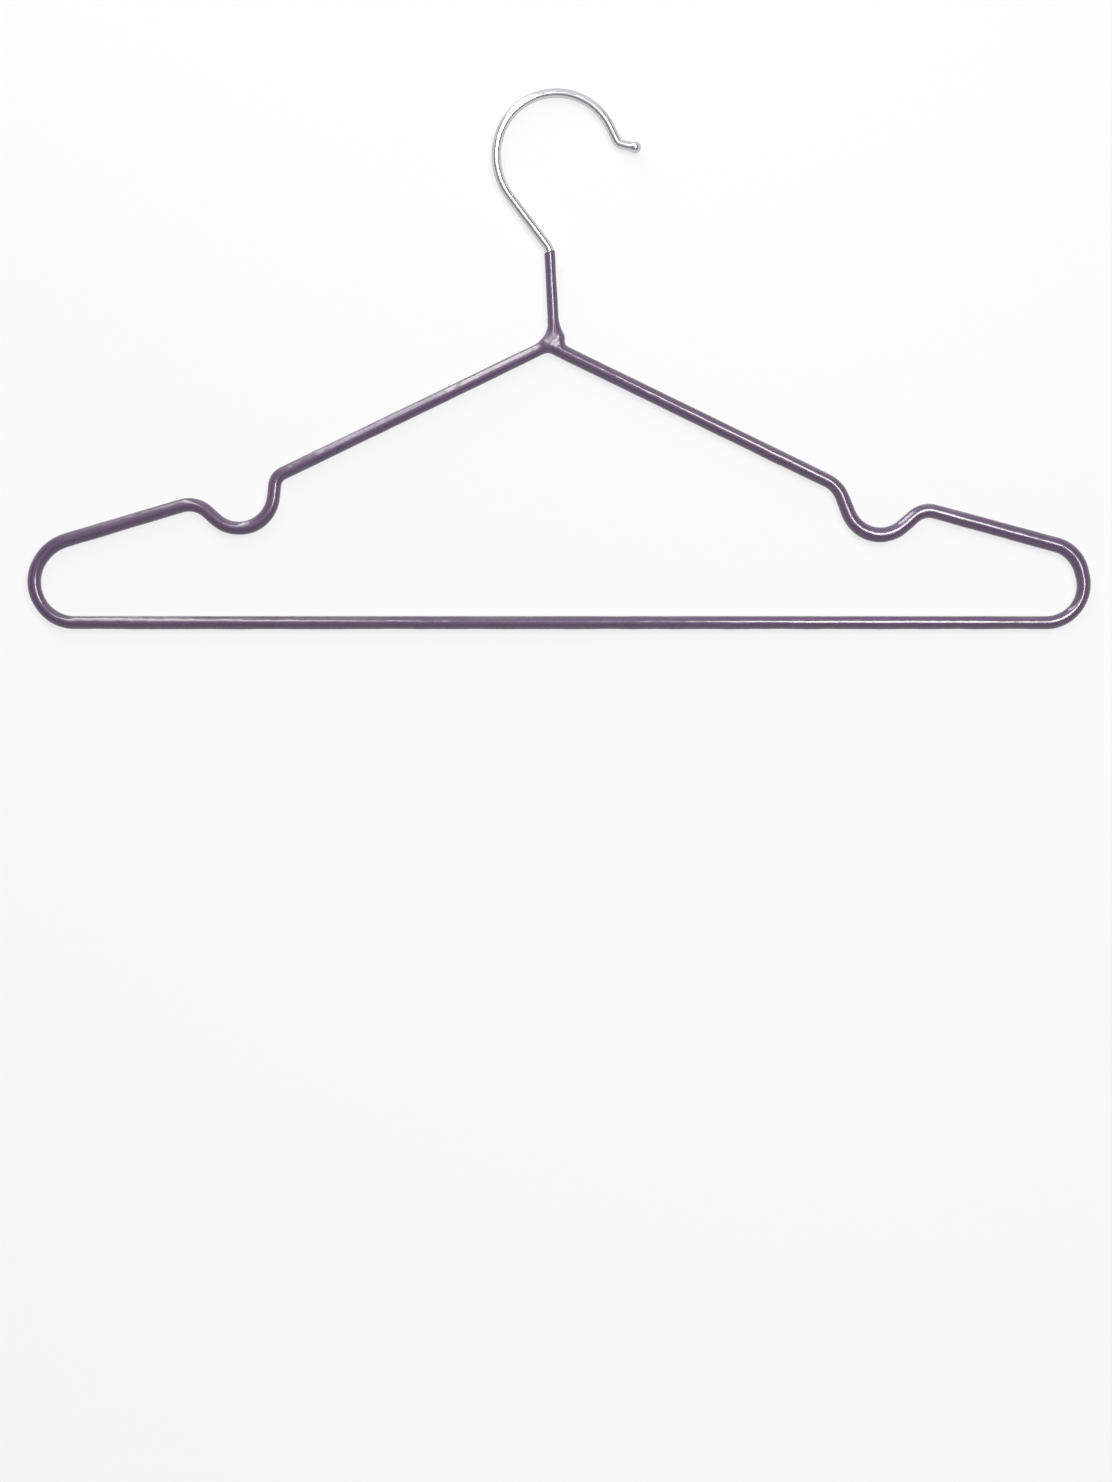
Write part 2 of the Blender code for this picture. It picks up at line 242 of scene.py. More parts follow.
# %% [markdown]
# ## Small helpers for node trees
#
# Shapes that follow a line are made by Geometry Nodes, and finishes by shader nodes. Both trees
# are built the same way: a node, its settings, and for each input a value or another node's output.

# %% Building a node tree
def step(tree, kind, inputs=(), **settings):
    """One node of a tree, with its settings and its inputs."""
    made = tree.nodes.new(kind)
    for name, value in settings.items():
        setattr(made, name, value)
    for socket, value in dict(inputs).items():
        if isinstance(value, bpy.types.NodeSocket):
            tree.links.new(value, made.inputs[socket])
        else:
            made.inputs[socket].default_value = value
    return made


def sum_of(tree, operation, *values):
    """The result of one Math node."""
    return step(tree, "ShaderNodeMath", enumerate(values), operation=operation).outputs[0]


def vector_sum(tree, operation, *values):
    """The result of one Vector Math node, which for a dot product or a distance is a number."""
    made = step(tree, "ShaderNodeVectorMath", enumerate(values), operation=operation)
    return made.outputs["Value" if operation in ("DOT_PRODUCT", "DISTANCE") else "Vector"]


def scaled(tree, vector, by):
    inputs = {0: vector, "Scale": by}
    return step(tree, "ShaderNodeVectorMath", inputs, operation="SCALE").outputs["Vector"]


def geometry_tree(name, **sizes):
    """A geometry tree, and the outputs of its named inputs."""
    tree = bpy.data.node_groups.new(name, "GeometryNodeTree")
    sockets = {"Geometry": "NodeSocketGeometry"}
    for title, kind in sizes.items():
        sockets[title.replace("_", " ")] = "NodeSocket" + kind
    for title, kind in sockets.items():
        tree.interface.new_socket(title, in_out="INPUT", socket_type=kind)
    tree.interface.new_socket("Geometry", in_out="OUTPUT", socket_type="NodeSocketGeometry")
    return tree, tree.nodes.new("NodeGroupInput").outputs


def end_tree(tree, geometry, finish):
    """Ends a tree in smooth faces, real instances and one material."""
    for kind in ("GeometryNodeSetShadeSmooth", "GeometryNodeRealizeInstances"):
        geometry = step(tree, kind, {0: geometry}).outputs[0]
    dressed = step(tree, "GeometryNodeSetMaterial", {"Geometry": geometry, "Material": finish})
    step(tree, "NodeGroupOutput", {0: dressed.outputs[0]})


def stored(tree, geometry, name, value, data_type):
    """The same shape, with a value kept at its points under this name."""
    inputs = {"Geometry": geometry, "Name": name, "Value": value}
    return step(tree, "GeometryNodeStoreNamedAttribute", inputs, data_type=data_type).outputs[0]


def swept_skin(tree, line, scale, profile, caps):
    """A profile of radius 1 carried along a line, and scaled at each of its points."""
    inputs = {"Curve": line, "Scale": scale, "Profile Curve": profile, "Fill Caps": caps}
    return step(tree, "GeometryNodeCurveToMesh", inputs).outputs[0]


def unit_circle(tree, sides):
    inputs = {"Resolution": sides, "Radius": 1.0}
    return step(tree, "GeometryNodeCurvePrimitiveCircle", inputs).outputs["Curve"]


def mesh_from(tree, obj, **values):
    """Runs a tree on an object, and returns the plain mesh that comes out."""
    modifier = obj.modifiers.new(tree.name, "NODES")
    modifier.node_group = tree
    for item in tree.interface.items_tree:
        if item.in_out == "INPUT" and item.name != "Geometry":
            modifier[item.identifier] = values[item.name.replace(" ", "_")]
    graph = bpy.context.evaluated_depsgraph_get()
    mesh = bpy.data.meshes.new_from_object(obj.evaluated_get(graph))
    bpy.data.objects.remove(obj, do_unlink=True)
    return mesh


# %% [markdown]
# A centreline is handed to a tree as a curve of straight segments. Each point has a radius, so one
# line can tell a tree where the wire runs and how thick it is there.

# %% Lines as curve objects
def put_in_scene(name, data):
    made = bpy.data.objects.new(name, data)
    bpy.context.scene.collection.objects.link(made)
    return made


def line_object(name, *strands):
    """A curve with one spline for each strand. A strand is its points and their radii."""
    curve = bpy.data.curves.new(name, "CURVE")
    curve.dimensions = "3D"
    for points, radii in strands:
        spline = curve.splines.new("POLY")
        spline.points.add(len(points) - 1)
        for slot, place, radius in zip(spline.points, points, radii):
            slot.co = (*place, 1)
            slot.radius = radius
    return put_in_scene(name, curve)


def even(points, radius):
    return points, [radius] * len(points)


# %% [markdown]
# ## Small helpers for finishes
#
# A finish is one shader. What is the same all over is set on it directly. What varies is driven by
# noises in the object's own coordinates, and each noise is spread over the values it stands for.

# %% Helpers for finishes
FIRST_COLOUR, SECOND_COLOUR, MIXED_COLOUR = 6, 7, 2  # places of a Mix node's colour sockets
RISING = (0.0, 1.0)
FALLING = (1.0, 0.0)


def new_finish(name, base, metallic):
    """A material, its tree and its shader, with the values that are the same all over it."""
    made = bpy.data.materials.new(name)
    made.use_nodes = True
    shader = made.node_tree.nodes["Principled BSDF"]
    shader.inputs["Base Color"].default_value = (*base, 1)
    shader.inputs["Metallic"].default_value = metallic
    return made, made.node_tree, shader


def drive(tree, shader, results):
    """Links a result to each of the shader's inputs that are named."""
    for name, result in results.items():
        tree.links.new(result, shader.inputs[name])


def noise(tree, place, scale, detail=2.0):
    """A noise with about this many spots to a metre, finer spots on them, and values round 0.5."""
    inputs = {"Vector": place, "Scale": scale, "Detail": detail}
    return step(tree, "ShaderNodeTexNoise", inputs).outputs["Fac"]


def spread(tree, value, to, over=(0.3, 0.7)):
    """A value that runs over one range, spread over another one and held at its ends."""
    inputs = {"Value": value, "From Min": over[0], "From Max": over[1], "To Min": to[0],
              "To Max": to[1]}
    return step(tree, "ShaderNodeMapRange", inputs).outputs[0]


def raised(tree, height, bump, under=None):
    """Bumps on top of the ones under them. A bump is its height and how strongly it shows."""
    inputs = {"Height": height, "Distance": bump[0], "Strength": bump[1]}
    if under:
        inputs["Normal"] = under
    return step(tree, "ShaderNodeBump", inputs).outputs[0]


def mixed(tree, share, one, other):
    """One colour where the share is 0, and the other where it is 1. A colour may be an output."""
    inputs = {"Factor": share}
    for socket, colour in ((FIRST_COLOUR, one), (SECOND_COLOUR, other)):
        inputs[socket] = (*colour, 1) if isinstance(colour, tuple) else colour
    return step(tree, "ShaderNodeMix", inputs, data_type="RGBA").outputs[MIXED_COLOUR]


# %% [markdown]
# ## Finish: bright plate on the hook
#
# The hook is drawn steel wire with a bright nickel-chrome plate. The plate is a mirror, but wire is
# pulled through a die, so it keeps very fine lines along its length, and handling leaves it a
# little hazy in places. The lines have to follow the bends, so the pattern is laid on the wire as
# if it were straight: how far along it a point is, and where on its rim.

# %% Bright plate
CHROME = (0.62, 0.63, 0.64)
CHROME_EDGE = (0.50, 0.50, 0.52)
PLATE_ROUGHNESS = (0.13, 0.22)
DRAWN_OUT = (1, 1, 0.02)
DRAWN_LINES = (0.004 * MM, 0.12)
RIPPLE = (0.01 * MM, 0.15)
chrome, tree, shader = new_finish("bright_plate", CHROME, metallic=1.0)
shader.inputs["Specular Tint"].default_value = (*CHROME_EDGE, 1)
rim = step(tree, "ShaderNodeAttribute", attribute_name="rim").outputs["Vector"]
along = step(tree, "ShaderNodeAttribute", attribute_name="along").outputs["Fac"]
straight = vector_sum(tree, "ADD", rim, step(tree, "ShaderNodeCombineXYZ", {"Z": along}).outputs[0])
drawn = noise(tree, vector_sum(tree, "MULTIPLY", straight, DRAWN_OUT), scale=2600)
haze = noise(tree, straight, scale=260, detail=4.0)
lines = raised(tree, drawn, DRAWN_LINES)
ripple = raised(tree, noise(tree, straight, scale=420), RIPPLE, under=lines)
drive(tree, shader, {"Roughness": spread(tree, haze, PLATE_ROUGHNESS), "Normal": ripple})
print("bright plate:", len(tree.nodes), "nodes")

# %% [markdown]
# ## Finish: dipped PVC
#
# The frame was heated and dipped in liquid PVC, which gels into a soft skin. Its body is satin, and
# a thin smooth film on top of it keeps sharp gleams. Two layers give that: a rougher body, whose
# gloss and colour are faintly cloudy, under a weak, clear and nearly smooth film.

# %% Dipped PVC: body and film
PURPLE = (0.110, 0.067, 0.129)
DEEP_PURPLE = (0.092, 0.055, 0.108)
BODY_SHINE = 0.35
FILM_WEIGHT = 0.6
FILM_ROUGHNESS = 0.07
CLOUDY_ROUGHNESS = (0.22, 0.30)
FLECKED_ROUGHNESS = (-0.02, 0.03)
pvc, tree, shader = new_finish("dipped_pvc", PURPLE, metallic=0.0)
shader.inputs["Specular IOR Level"].default_value = BODY_SHINE
shader.inputs["Coat Weight"].default_value = FILM_WEIGHT
shader.inputs["Coat Roughness"].default_value = FILM_ROUGHNESS
place = step(tree, "ShaderNodeTexCoord").outputs["Object"]
clouds = noise(tree, place, scale=150, detail=5.0)
flecks = noise(tree, place, scale=1900)
body = mixed(tree, spread(tree, clouds, RISING), PURPLE, DEEP_PURPLE)
gloss = sum_of(tree, "ADD", spread(tree, clouds, CLOUDY_ROUGHNESS),
               spread(tree, flecks, FLECKED_ROUGHNESS))

# %% [markdown]
# Clothes slide over the skin and leave it paler and duller. The pale purple is partly that wear and
# partly a painted highlight on the upper side. All of it has a few such pale patches on its upper
# side. Two places have many more, the left shoulder and the bar's left end, where the pale purple
# also paints the broad highlight band, so each is a zone that fades out at its sides. A zone is
# where it runs along x, and where it lies in z.

# %% Dipped PVC: rubs and painted highlights
# Pale rubbed purple, which also paints a highlight on the upper side, the left shoulder, the bar's
# left end and the weld.
RUBBED_AND_HIGHLIT_PURPLE = (0.270, 0.235, 0.290)
RUB_AND_HIGHLIGHT_ZONES = {
    "left shoulder": ((-102 * MM, -30 * MM), (-150 * MM, -90 * MM)),
    "left of the bar": ((-180 * MM, -132 * MM), (-200 * MM, -190 * MM)),
}
ZONE_FADE = 12 * MM
FEW_RUBS_AND_HIGHLIGHTS, MANY_RUBS_AND_HIGHLIGHTS = (0.48, 0.72), (0.38, 0.60)
UPPER_SIDE, NOT_BELOW = (0.35, 0.95), (0.0, 0.55)
FAINT_RUB_AND_HIGHLIGHT, PATCHY_RUB_AND_HIGHLIGHT = (0.0, 0.55), (0.2, 0.75)
normal = step(tree, "ShaderNodeNewGeometry").outputs["Normal"]
upward = step(tree, "ShaderNodeSeparateXYZ", {0: normal}).outputs["Z"]
few = spread(tree, noise(tree, place, scale=55, detail=6.0), RISING, FEW_RUBS_AND_HIGHLIGHTS)
rub_and_highlight = sum_of(tree, "MULTIPLY", few, spread(tree, upward, FAINT_RUB_AND_HIGHLIGHT, UPPER_SIDE))
mottle = spread(tree, noise(tree, place, scale=320, detail=5.0), PATCHY_RUB_AND_HIGHLIGHT, MANY_RUBS_AND_HIGHLIGHTS)
axes = step(tree, "ShaderNodeSeparateXYZ", {0: place}).outputs
for (left, right), (low, high) in RUB_AND_HIGHLIGHT_ZONES.values():
    shares = [mottle,
              spread(tree, axes["X"], RISING, (left, left + ZONE_FADE)),
              spread(tree, axes["X"], FALLING, (right - ZONE_FADE, right)),
              sum_of(tree, "GREATER_THAN", axes["Z"], low),
              sum_of(tree, "LESS_THAN", axes["Z"], high)]
    zone = spread(tree, upward, RISING, NOT_BELOW)
    for share in shares:
        zone = sum_of(tree, "MULTIPLY", zone, share)
    rub_and_highlight = sum_of(tree, "MAXIMUM", rub_and_highlight, zone)

# %% [markdown]
# The weld under the skin is rough, and the skin over it stays pitted and dull. The lump over it is
# also paled by a painted highlight, in the rubs' colour. So the dulling, the painted highlight and
# two sizes of pits are strongest there, and fade out with the distance from the weld's middle.

# %% Dipped PVC: over the weld
WELD_REACH = (2.6 * MM, 5.0 * MM)
WELD_RUB_AND_HIGHLIGHT = (0.10, 0.50)
PITS, FINE_PITS = (0.10 * MM, 0.20), (0.05 * MM, 0.90)
low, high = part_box("neck_weld")
near_weld = spread(tree, vector_sum(tree, "DISTANCE", place, (low + high) / 2), FALLING, WELD_REACH)
# Painted highlight and dulling on the weld's lump, in the rubbed purple.
weld_rub_and_highlight = sum_of(tree, "MULTIPLY", near_weld, spread(tree, mottle, WELD_RUB_AND_HIGHLIGHT))
rub_and_highlight = sum_of(tree, "MAXIMUM", rub_and_highlight, weld_rub_and_highlight)
pits = sum_of(tree, "MULTIPLY", noise(tree, place, scale=1400), near_weld)
fine_pits = sum_of(tree, "MULTIPLY", noise(tree, place, scale=5200, detail=1.0), near_weld)
pitted = raised(tree, fine_pits, FINE_PITS, under=raised(tree, pits, PITS))

# %% [markdown]
# The skin levels itself, but never quite. It keeps an orange peel about a millimetre across and a
# fine grain. The film on top is smoother than the body, so it has less of the peel and no grain.

# %% Dipped PVC: putting it together
PEEL, FILM_PEEL, GRAIN = (0.03 * MM, 0.20), (0.03 * MM, 0.08), (0.006 * MM, 0.10)
RUBBED_ROUGHER = 0.25
orange_peel = noise(tree, place, scale=780)
skin_bumps = raised(tree, flecks, GRAIN, under=raised(tree, orange_peel, PEEL, under=pitted))
film_bumps = raised(tree, orange_peel, FILM_PEEL, under=pitted)
dulled = sum_of(tree, "MULTIPLY_ADD", rub_and_highlight, RUBBED_ROUGHER, gloss)
# The base colour is paled by the rubs and by the painted highlight.
drive(tree, shader, {"Base Color": mixed(tree, rub_and_highlight, body, RUBBED_AND_HIGHLIT_PURPLE), "Roughness": dulled,
                     "Normal": skin_bumps, "Coat Normal": film_bumps})
print("dipped PVC:", len(tree.nodes), "nodes")

# %% [markdown]
# ## Finish: the metal inside the coat
#
# The frame wire and the weld are covered, but they are real pieces, so each has its own finish.
# The wire is plain drawn steel with patches of a thin brown oxide.

# %% Bare wire
STEEL = (0.42, 0.41, 0.40)
OXIDE = (0.23, 0.17, 0.13)
OXIDE_SHARE, OXIDE_PATCHES = (0.0, 0.6), (0.45, 0.75)
STEEL_ROUGHNESS = (0.32, 0.62)
DIE_MARKS = (0.01 * MM, 0.4)
steel, tree, shader = new_finish("bare_wire", STEEL, metallic=1.0)
place = step(tree, "ShaderNodeTexCoord").outputs["Object"]
oxide = spread(tree, noise(tree, place, scale=320, detail=6.0), OXIDE_SHARE, OXIDE_PATCHES)
drive(tree, shader, {
    "Base Color": mixed(tree, oxide, STEEL, OXIDE),
    "Roughness": spread(tree, oxide, STEEL_ROUGHNESS, OXIDE_SHARE),
    "Normal": raised(tree, noise(tree, place, scale=2600), DIE_MARKS),
})

# %% [markdown]
# The weld is darker and rougher, with spatter and the straw and blue tints that heat leaves.

# %% Weld metal
WELD_GREY = (0.26, 0.24, 0.23)
HEAT_TINTS = ((0.0, WELD_GREY), (0.45, (0.38, 0.27, 0.13)), (0.75, (0.15, 0.16, 0.30)))
WELD_ROUGHNESS = (0.4, 0.7)
SPATTER = (0.05 * MM, 0.6)
weld, tree, shader = new_finish("weld_metal", WELD_GREY, metallic=1.0)
place = step(tree, "ShaderNodeTexCoord").outputs["Object"]
heat = step(tree, "ShaderNodeValToRGB", {0: spread(tree, noise(tree, place, scale=420), RISING)})
ramp = heat.color_ramp.elements
ramp.new(HEAT_TINTS[1][0])
for stop, (position, colour) in zip(ramp, HEAT_TINTS):
    stop.position = position
    stop.color = (*colour, 1)
drive(tree, shader, {
    "Base Color": heat.outputs[0],
    "Roughness": spread(tree, noise(tree, place, scale=900), WELD_ROUGHNESS),
    "Normal": raised(tree, noise(tree, place, scale=1500, detail=4.0), SPATTER),
})
for node, finish in (("frame_wire", steel), ("neck_weld", weld)):
    frame["nodes"][node].data.materials.clear()
    frame["nodes"][node].data.materials.append(finish)
print("metal finishes on frame_wire and neck_weld")

# %% [markdown]
# ## The hook
#
# The hook is a round wire whose tip was upset into a ball, so it is one sweep along the line with
# a radius that changes: a ball near the tip, then the wire. The two meet in a small fillet, which
# a smooth maximum of the two radii gives. The tree works the radius out from the distance to the
# tip, and leaves the rim and the distance on the mesh for the finish.

# %% A tree for wire with a ball tip
tree, size = geometry_tree("ball_ended_wire", Wire_diameter="Float", Ball_diameter="Float",
                           Sides="Int", Finish="Material")
along = step(tree, "GeometryNodeSplineParameter").outputs["Length"]
wire_radius = sum_of(tree, "MULTIPLY", size["Wire diameter"], 0.5)
ball_radius = sum_of(tree, "MULTIPLY", size["Ball diameter"], 0.5)
from_centre = sum_of(tree, "SUBTRACT", along, ball_radius)
left_over = sum_of(tree, "SUBTRACT", sum_of(tree, "POWER", ball_radius, 2.0),
                   sum_of(tree, "MULTIPLY", from_centre, from_centre))
in_ball = sum_of(tree, "SQRT", sum_of(tree, "MAXIMUM", left_over, 0.0))
in_wire = sum_of(tree, "MULTIPLY", wire_radius, sum_of(tree, "GREATER_THAN", from_centre, 0.0))
fillet = sum_of(tree, "SUBTRACT", ball_radius, wire_radius)
radius = sum_of(tree, "SMOOTH_MAX", in_ball, in_wire, fillet)
line = stored(tree, size["Geometry"], "along", along, "FLOAT")
on_rim = scaled(tree, step(tree, "GeometryNodeInputPosition").outputs[0], wire_radius)
profile = stored(tree, unit_circle(tree, size["Sides"]), "rim", on_rim, "FLOAT_VECTOR")
swept = swept_skin(tree, line, radius, profile, caps=True)
JOIN = 0.002 * MM
welded = step(tree, "GeometryNodeMergeByDistance", {"Geometry": swept, "Distance": JOIN})
end_tree(tree, welded.outputs[0], size["Finish"])
wire_tree = tree
print("ball_ended_wire:", len(tree.nodes), "nodes")

# %% [markdown]
# The line's points stand a few degrees apart in the bends, but the ball needs its own, closest at
# the tip, where its radius changes fastest.

# %% Making the hook
TIP_BALL = 4.3 * MM
BALL_RINGS = 22
BALL_TURN = 0.75 * math.pi
WIRE_SIDES = 40
tip, lip_foot = hook_line[:2]
inward = (lip_foot - tip).normalized() * TIP_BALL / 2
ball_line = []
for ring in range(BALL_RINGS):
    turn = BALL_TURN * ring / BALL_RINGS
    ball_line.append(tip - inward * math.cos(turn))
dense_line = ball_line + hook_line[1:]
hook_strand = line_object("hook_line", even(dense_line, HOOK_WIRE / 2))
hook_mesh = mesh_from(wire_tree, hook_strand, Wire_diameter=HOOK_WIRE, Ball_diameter=TIP_BALL,
                      Sides=WIRE_SIDES, Finish=chrome)
hook = put_in_scene("plated_hook", hook_mesh)
print("hook:", len(hook_mesh.vertices), "points,", mm(hook.dimensions.z), "mm high")

# %% [markdown]
# The shank stands in the weld, so its foot is hollowed to fit. The hollow is the CAD weld's own
# shape, grown by the play between the pieces, and cut away with a Boolean.

# %% Hollowing the shank's foot
PLAY = 0.1 * MM


def grown_copy(node, by):
    """A closed copy of a CAD node, grown all round by one distance."""
    shape = bmesh.new()
    shape.from_mesh(frame["nodes"][node].data)
    bmesh.ops.remove_doubles(shape, verts=shape.verts, dist=JOIN)
    shape.normal_update()
    for vert in shape.verts:
        vert.co += vert.normal * by
    mesh = bpy.data.meshes.new(node + "_grown")
    shape.to_mesh(mesh)
    shape.free()
    return put_in_scene(node + "_grown", mesh)


def cut(piece, cutters):
    """Cuts the other shapes out of a piece, one after another, and leaves it a plain mesh."""
    for cutter in cutters:
        boolean = piece.modifiers.new("cut_" + cutter.name, "BOOLEAN")
        boolean.operation = "DIFFERENCE"
        boolean.solver = "MANIFOLD"
        boolean.object = cutter
    graph = bpy.context.evaluated_depsgraph_get()
    piece.data = bpy.data.meshes.new_from_object(piece.evaluated_get(graph))
    piece.modifiers.clear()
    print(piece.name + ":", len(piece.data.vertices), "points after the cut")


weld_room = grown_copy("neck_weld", PLAY)
cut(hook, [weld_room])

# %% [markdown]
# ## The coat along the frame
#
# The coat is one skin with three arms that meet over the weld. Away from there it only follows the
# wire, so it is a sweep round the frame's line, and the line's points carry its thickness. The tree
# sets its rings at an even distance, so that the skin has the same grain everywhere.

# %% A tree for a sleeve round a line
tree, size = geometry_tree("sleeve", Ring_spacing="Float", Sides="Int", Finish="Material")
even_line = step(tree, "GeometryNodeResampleCurve", {"Curve": size["Geometry"],
                 "Length": size["Ring spacing"]}, mode="LENGTH")
circle = unit_circle(tree, size["Sides"])
thick = step(tree, "GeometryNodeInputRadius").outputs[0]
swept = swept_skin(tree, even_line.outputs[0], thick, circle, caps=False)
end_tree(tree, swept, size["Finish"])
sleeve_tree = tree
print("sleeve:", len(tree.nodes), "nodes")

# %% [markdown]
# The sleeve stops short of the apex, where the two shoulders and the neck grow into each other. So
# both need the same places on the shoulders, and the same thickness there.

# %% Places and lengths along a line
JOINT_REACH = 15.0 * MM
STITCH = 0.5 * MM
Shoulder = collections.namedtuple("Shoulder", "corner coat_at_weld coat_at_corner")
SHOULDERS = {
    "right": Shoulder(right_places[0], 5.25 * MM, RIGHT_SIDE["shoulder"].coat),
    "left": Shoulder(left_places[0], 4.75 * MM, LEFT_SIDE["shoulder"].coat),
}


def along_shoulder(side, distance):
    """A point on a shoulder's line this far from the apex, and the coat's radius there."""
    corner, near, far = SHOULDERS[side]
    share = distance / (corner - apex).length
    return apex.lerp(corner, share), (near + (far - near) * share) / 2


def lengths_along(points):
    """How far each point of a line is from its start."""
    far = [0.0]
    for before, here in zip(points, points[1:]):
        far.append(far[-1] + (here - before).length)
    return far


# %% [markdown]
# The sleeve runs the long way round, from one shoulder to the other. The thickness is known at the
# middle of each corner, and changes evenly with the length of wire from one to the next.

# %% Making the sleeve
RING_SPACING = 0.7 * MM
COAT_SIDES = 40
sleeve_start, sleeve_end = (along_shoulder(side, JOINT_REACH + STITCH) for side in SHOULDERS)
points, marks = [sleeve_start[0]], [(0, sleeve_start[1])]
for arc, row in zip(side_arcs, rows):
    marks.append((len(points) + len(arc) // 2, row.coat / 2))
    points += arc
points.append(sleeve_end[0])
marks.append((len(points) - 1, sleeve_end[1]))
far = lengths_along(points)
radii = []
for (first, near_radius), (last, far_radius) in zip(marks, marks[1:]):
    for k in range(first, last):
        share = (far[k] - far[first]) / (far[last] - far[first])
        radii.append(near_radius + (far_radius - near_radius) * share)
radii.append(sleeve_end[1])
sleeve = mesh_from(sleeve_tree, line_object("sleeve_line", (points, radii)),
                   Ring_spacing=RING_SPACING, Sides=COAT_SIDES, Finish=pvc)
print("sleeve:", len(sleeve.vertices) // COAT_SIDES, "rings on", mm(far[-1]), "mm of wire")

# %% [markdown]
# ## The coat over the joint
#
# Where the arms meet, the liquid pulled itself into smooth hollows, as a dip always does. Joining
# three tubes with a Boolean leaves sharp creases there. Instead, the distance to each arm is
# measured at every point of a fine grid, less the arm's radius, and the arms are blended by a
# smooth minimum of these distances, whose reach is the width of the hollow. The skin lies where the
# blend is zero. A smooth maximum with a slanted plane ends the neck in a rounded lip. The web
# between the neck and the left shoulder is wide, and the creases elsewhere are narrow.

# %% A tree for arms that grow into each other
tree, size = geometry_tree("dipped_joint", Voxel="Float", Web="Float", Crease="Float",
                           Lip_rounding="Float", Lip_place="Vector", Lip_slant="Vector",
                           Low_corner="Vector", High_corner="Vector", Finish="Material")
BEAD_SPACING = 0.1 * MM
place = step(tree, "GeometryNodeInputPosition").outputs[0]


def distance_to(tree, strand):
    """How far a place is from the skin of one strand, which is followed as a string of beads."""
    index = step(tree, "GeometryNodeInputIndex").outputs[0]
    chosen = step(tree, "FunctionNodeCompare", {2: index, 3: strand}, data_type="INT",
                  operation="EQUAL").outputs[0]
    one = step(tree, "GeometryNodeSeparateGeometry", {"Geometry": size["Geometry"],
               "Selection": chosen}, domain="CURVE").outputs[0]
    beads = step(tree, "GeometryNodeCurveToPoints", {"Curve": one, "Length": BEAD_SPACING},
                 mode="LENGTH").outputs["Points"]
    inputs = {"Geometry": beads, "Sample Position": place}
    nearest = step(tree, "GeometryNodeSampleNearest", inputs).outputs[0]

    def of_nearest(value, data_type):
        inputs = {"Geometry": beads, "Value": value, "Index": nearest}
        return step(tree, "GeometryNodeSampleIndex", inputs, data_type=data_type).outputs[0]

    radius = of_nearest(step(tree, "GeometryNodeInputRadius").outputs[0], "FLOAT")
    apart = vector_sum(tree, "DISTANCE", place, of_nearest(place, "FLOAT_VECTOR"))
    return sum_of(tree, "SUBTRACT", apart, radius)


STRANDS = ("neck", "left_arm", "right_arm", "weld", "flank", "corner")
neck, left_arm, right_arm, swelling, flank, corner = (
    distance_to(tree, k) for k in range(len(STRANDS))
)
web = sum_of(tree, "SMOOTH_MIN", neck, left_arm, size["Web"])
web = sum_of(tree, "SMOOTH_MIN", web, corner, size["Web"])
seat = sum_of(tree, "SMOOTH_MIN", neck, right_arm, size["Crease"])
lump = sum_of(tree, "SMOOTH_MIN", swelling, flank, size["Crease"])
skin = sum_of(tree, "SMOOTH_MIN", sum_of(tree, "MINIMUM", web, seat), lump, size["Crease"])
above_lip = vector_sum(tree, "DOT_PRODUCT", vector_sum(tree, "SUBTRACT", place, size["Lip place"]),
                       size["Lip slant"])
skin = sum_of(tree, "SMOOTH_MAX", skin, above_lip, size["Lip rounding"])
counts = vector_sum(tree, "SUBTRACT", size["High corner"], size["Low corner"])
per_axis = step(tree, "ShaderNodeSeparateXYZ", {0: counts}).outputs
grid = {"Density": sum_of(tree, "MULTIPLY", skin, -1.0), "Background": -1.0,
        "Min": size["Low corner"], "Max": size["High corner"]}
for axis in "XYZ":
    grid["Resolution " + axis] = sum_of(tree, "DIVIDE", per_axis[axis], size["Voxel"])
cloud = step(tree, "GeometryNodeVolumeCube", grid)
meshed = step(tree, "GeometryNodeVolumeToMesh", {"Volume": cloud.outputs[0], "Threshold": 0.0})
end_tree(tree, meshed.outputs[0], size["Finish"])
joint_tree = tree
print("dipped_joint:", len(tree.nodes), "nodes")

# %% [markdown]
# The strands are the neck up to its lip, both shoulders with half the apex's bend each, the weld's
# swelling, the flank that leads it up the neck and down to the right shoulder, and a short strand
# in the corner between the neck and the left shoulder, which fills the web. They are cut from the
# same lines as the wires, so that the skin lies round them.

# %% Cutting a line and grading a strand
def tail_of(points, length):
    """The last stretch of a line, cut to this length."""
    kept = [points[-1]]
    left = length
    for here, before in zip(reversed(points), reversed(points[:-1])):
        span = (before - here).length
        if span >= left:
            kept.append(here.lerp(before, left / span))
            break
        kept.append(before)
        left -= span
    return kept[::-1]


def graded(points, start, end):
    """A strand whose diameter changes evenly along it, from one end's to the other's."""
    along = lengths_along(points)
    return points, [(start + (end - start) * far / along[-1]) / 2 for far in along]


# %% [markdown]
# The hook's line runs on past the lip, and the shoulders past the cut, so that no strand's end
# shapes the skin that is kept. The weld lies to the right of the neck and a little high.

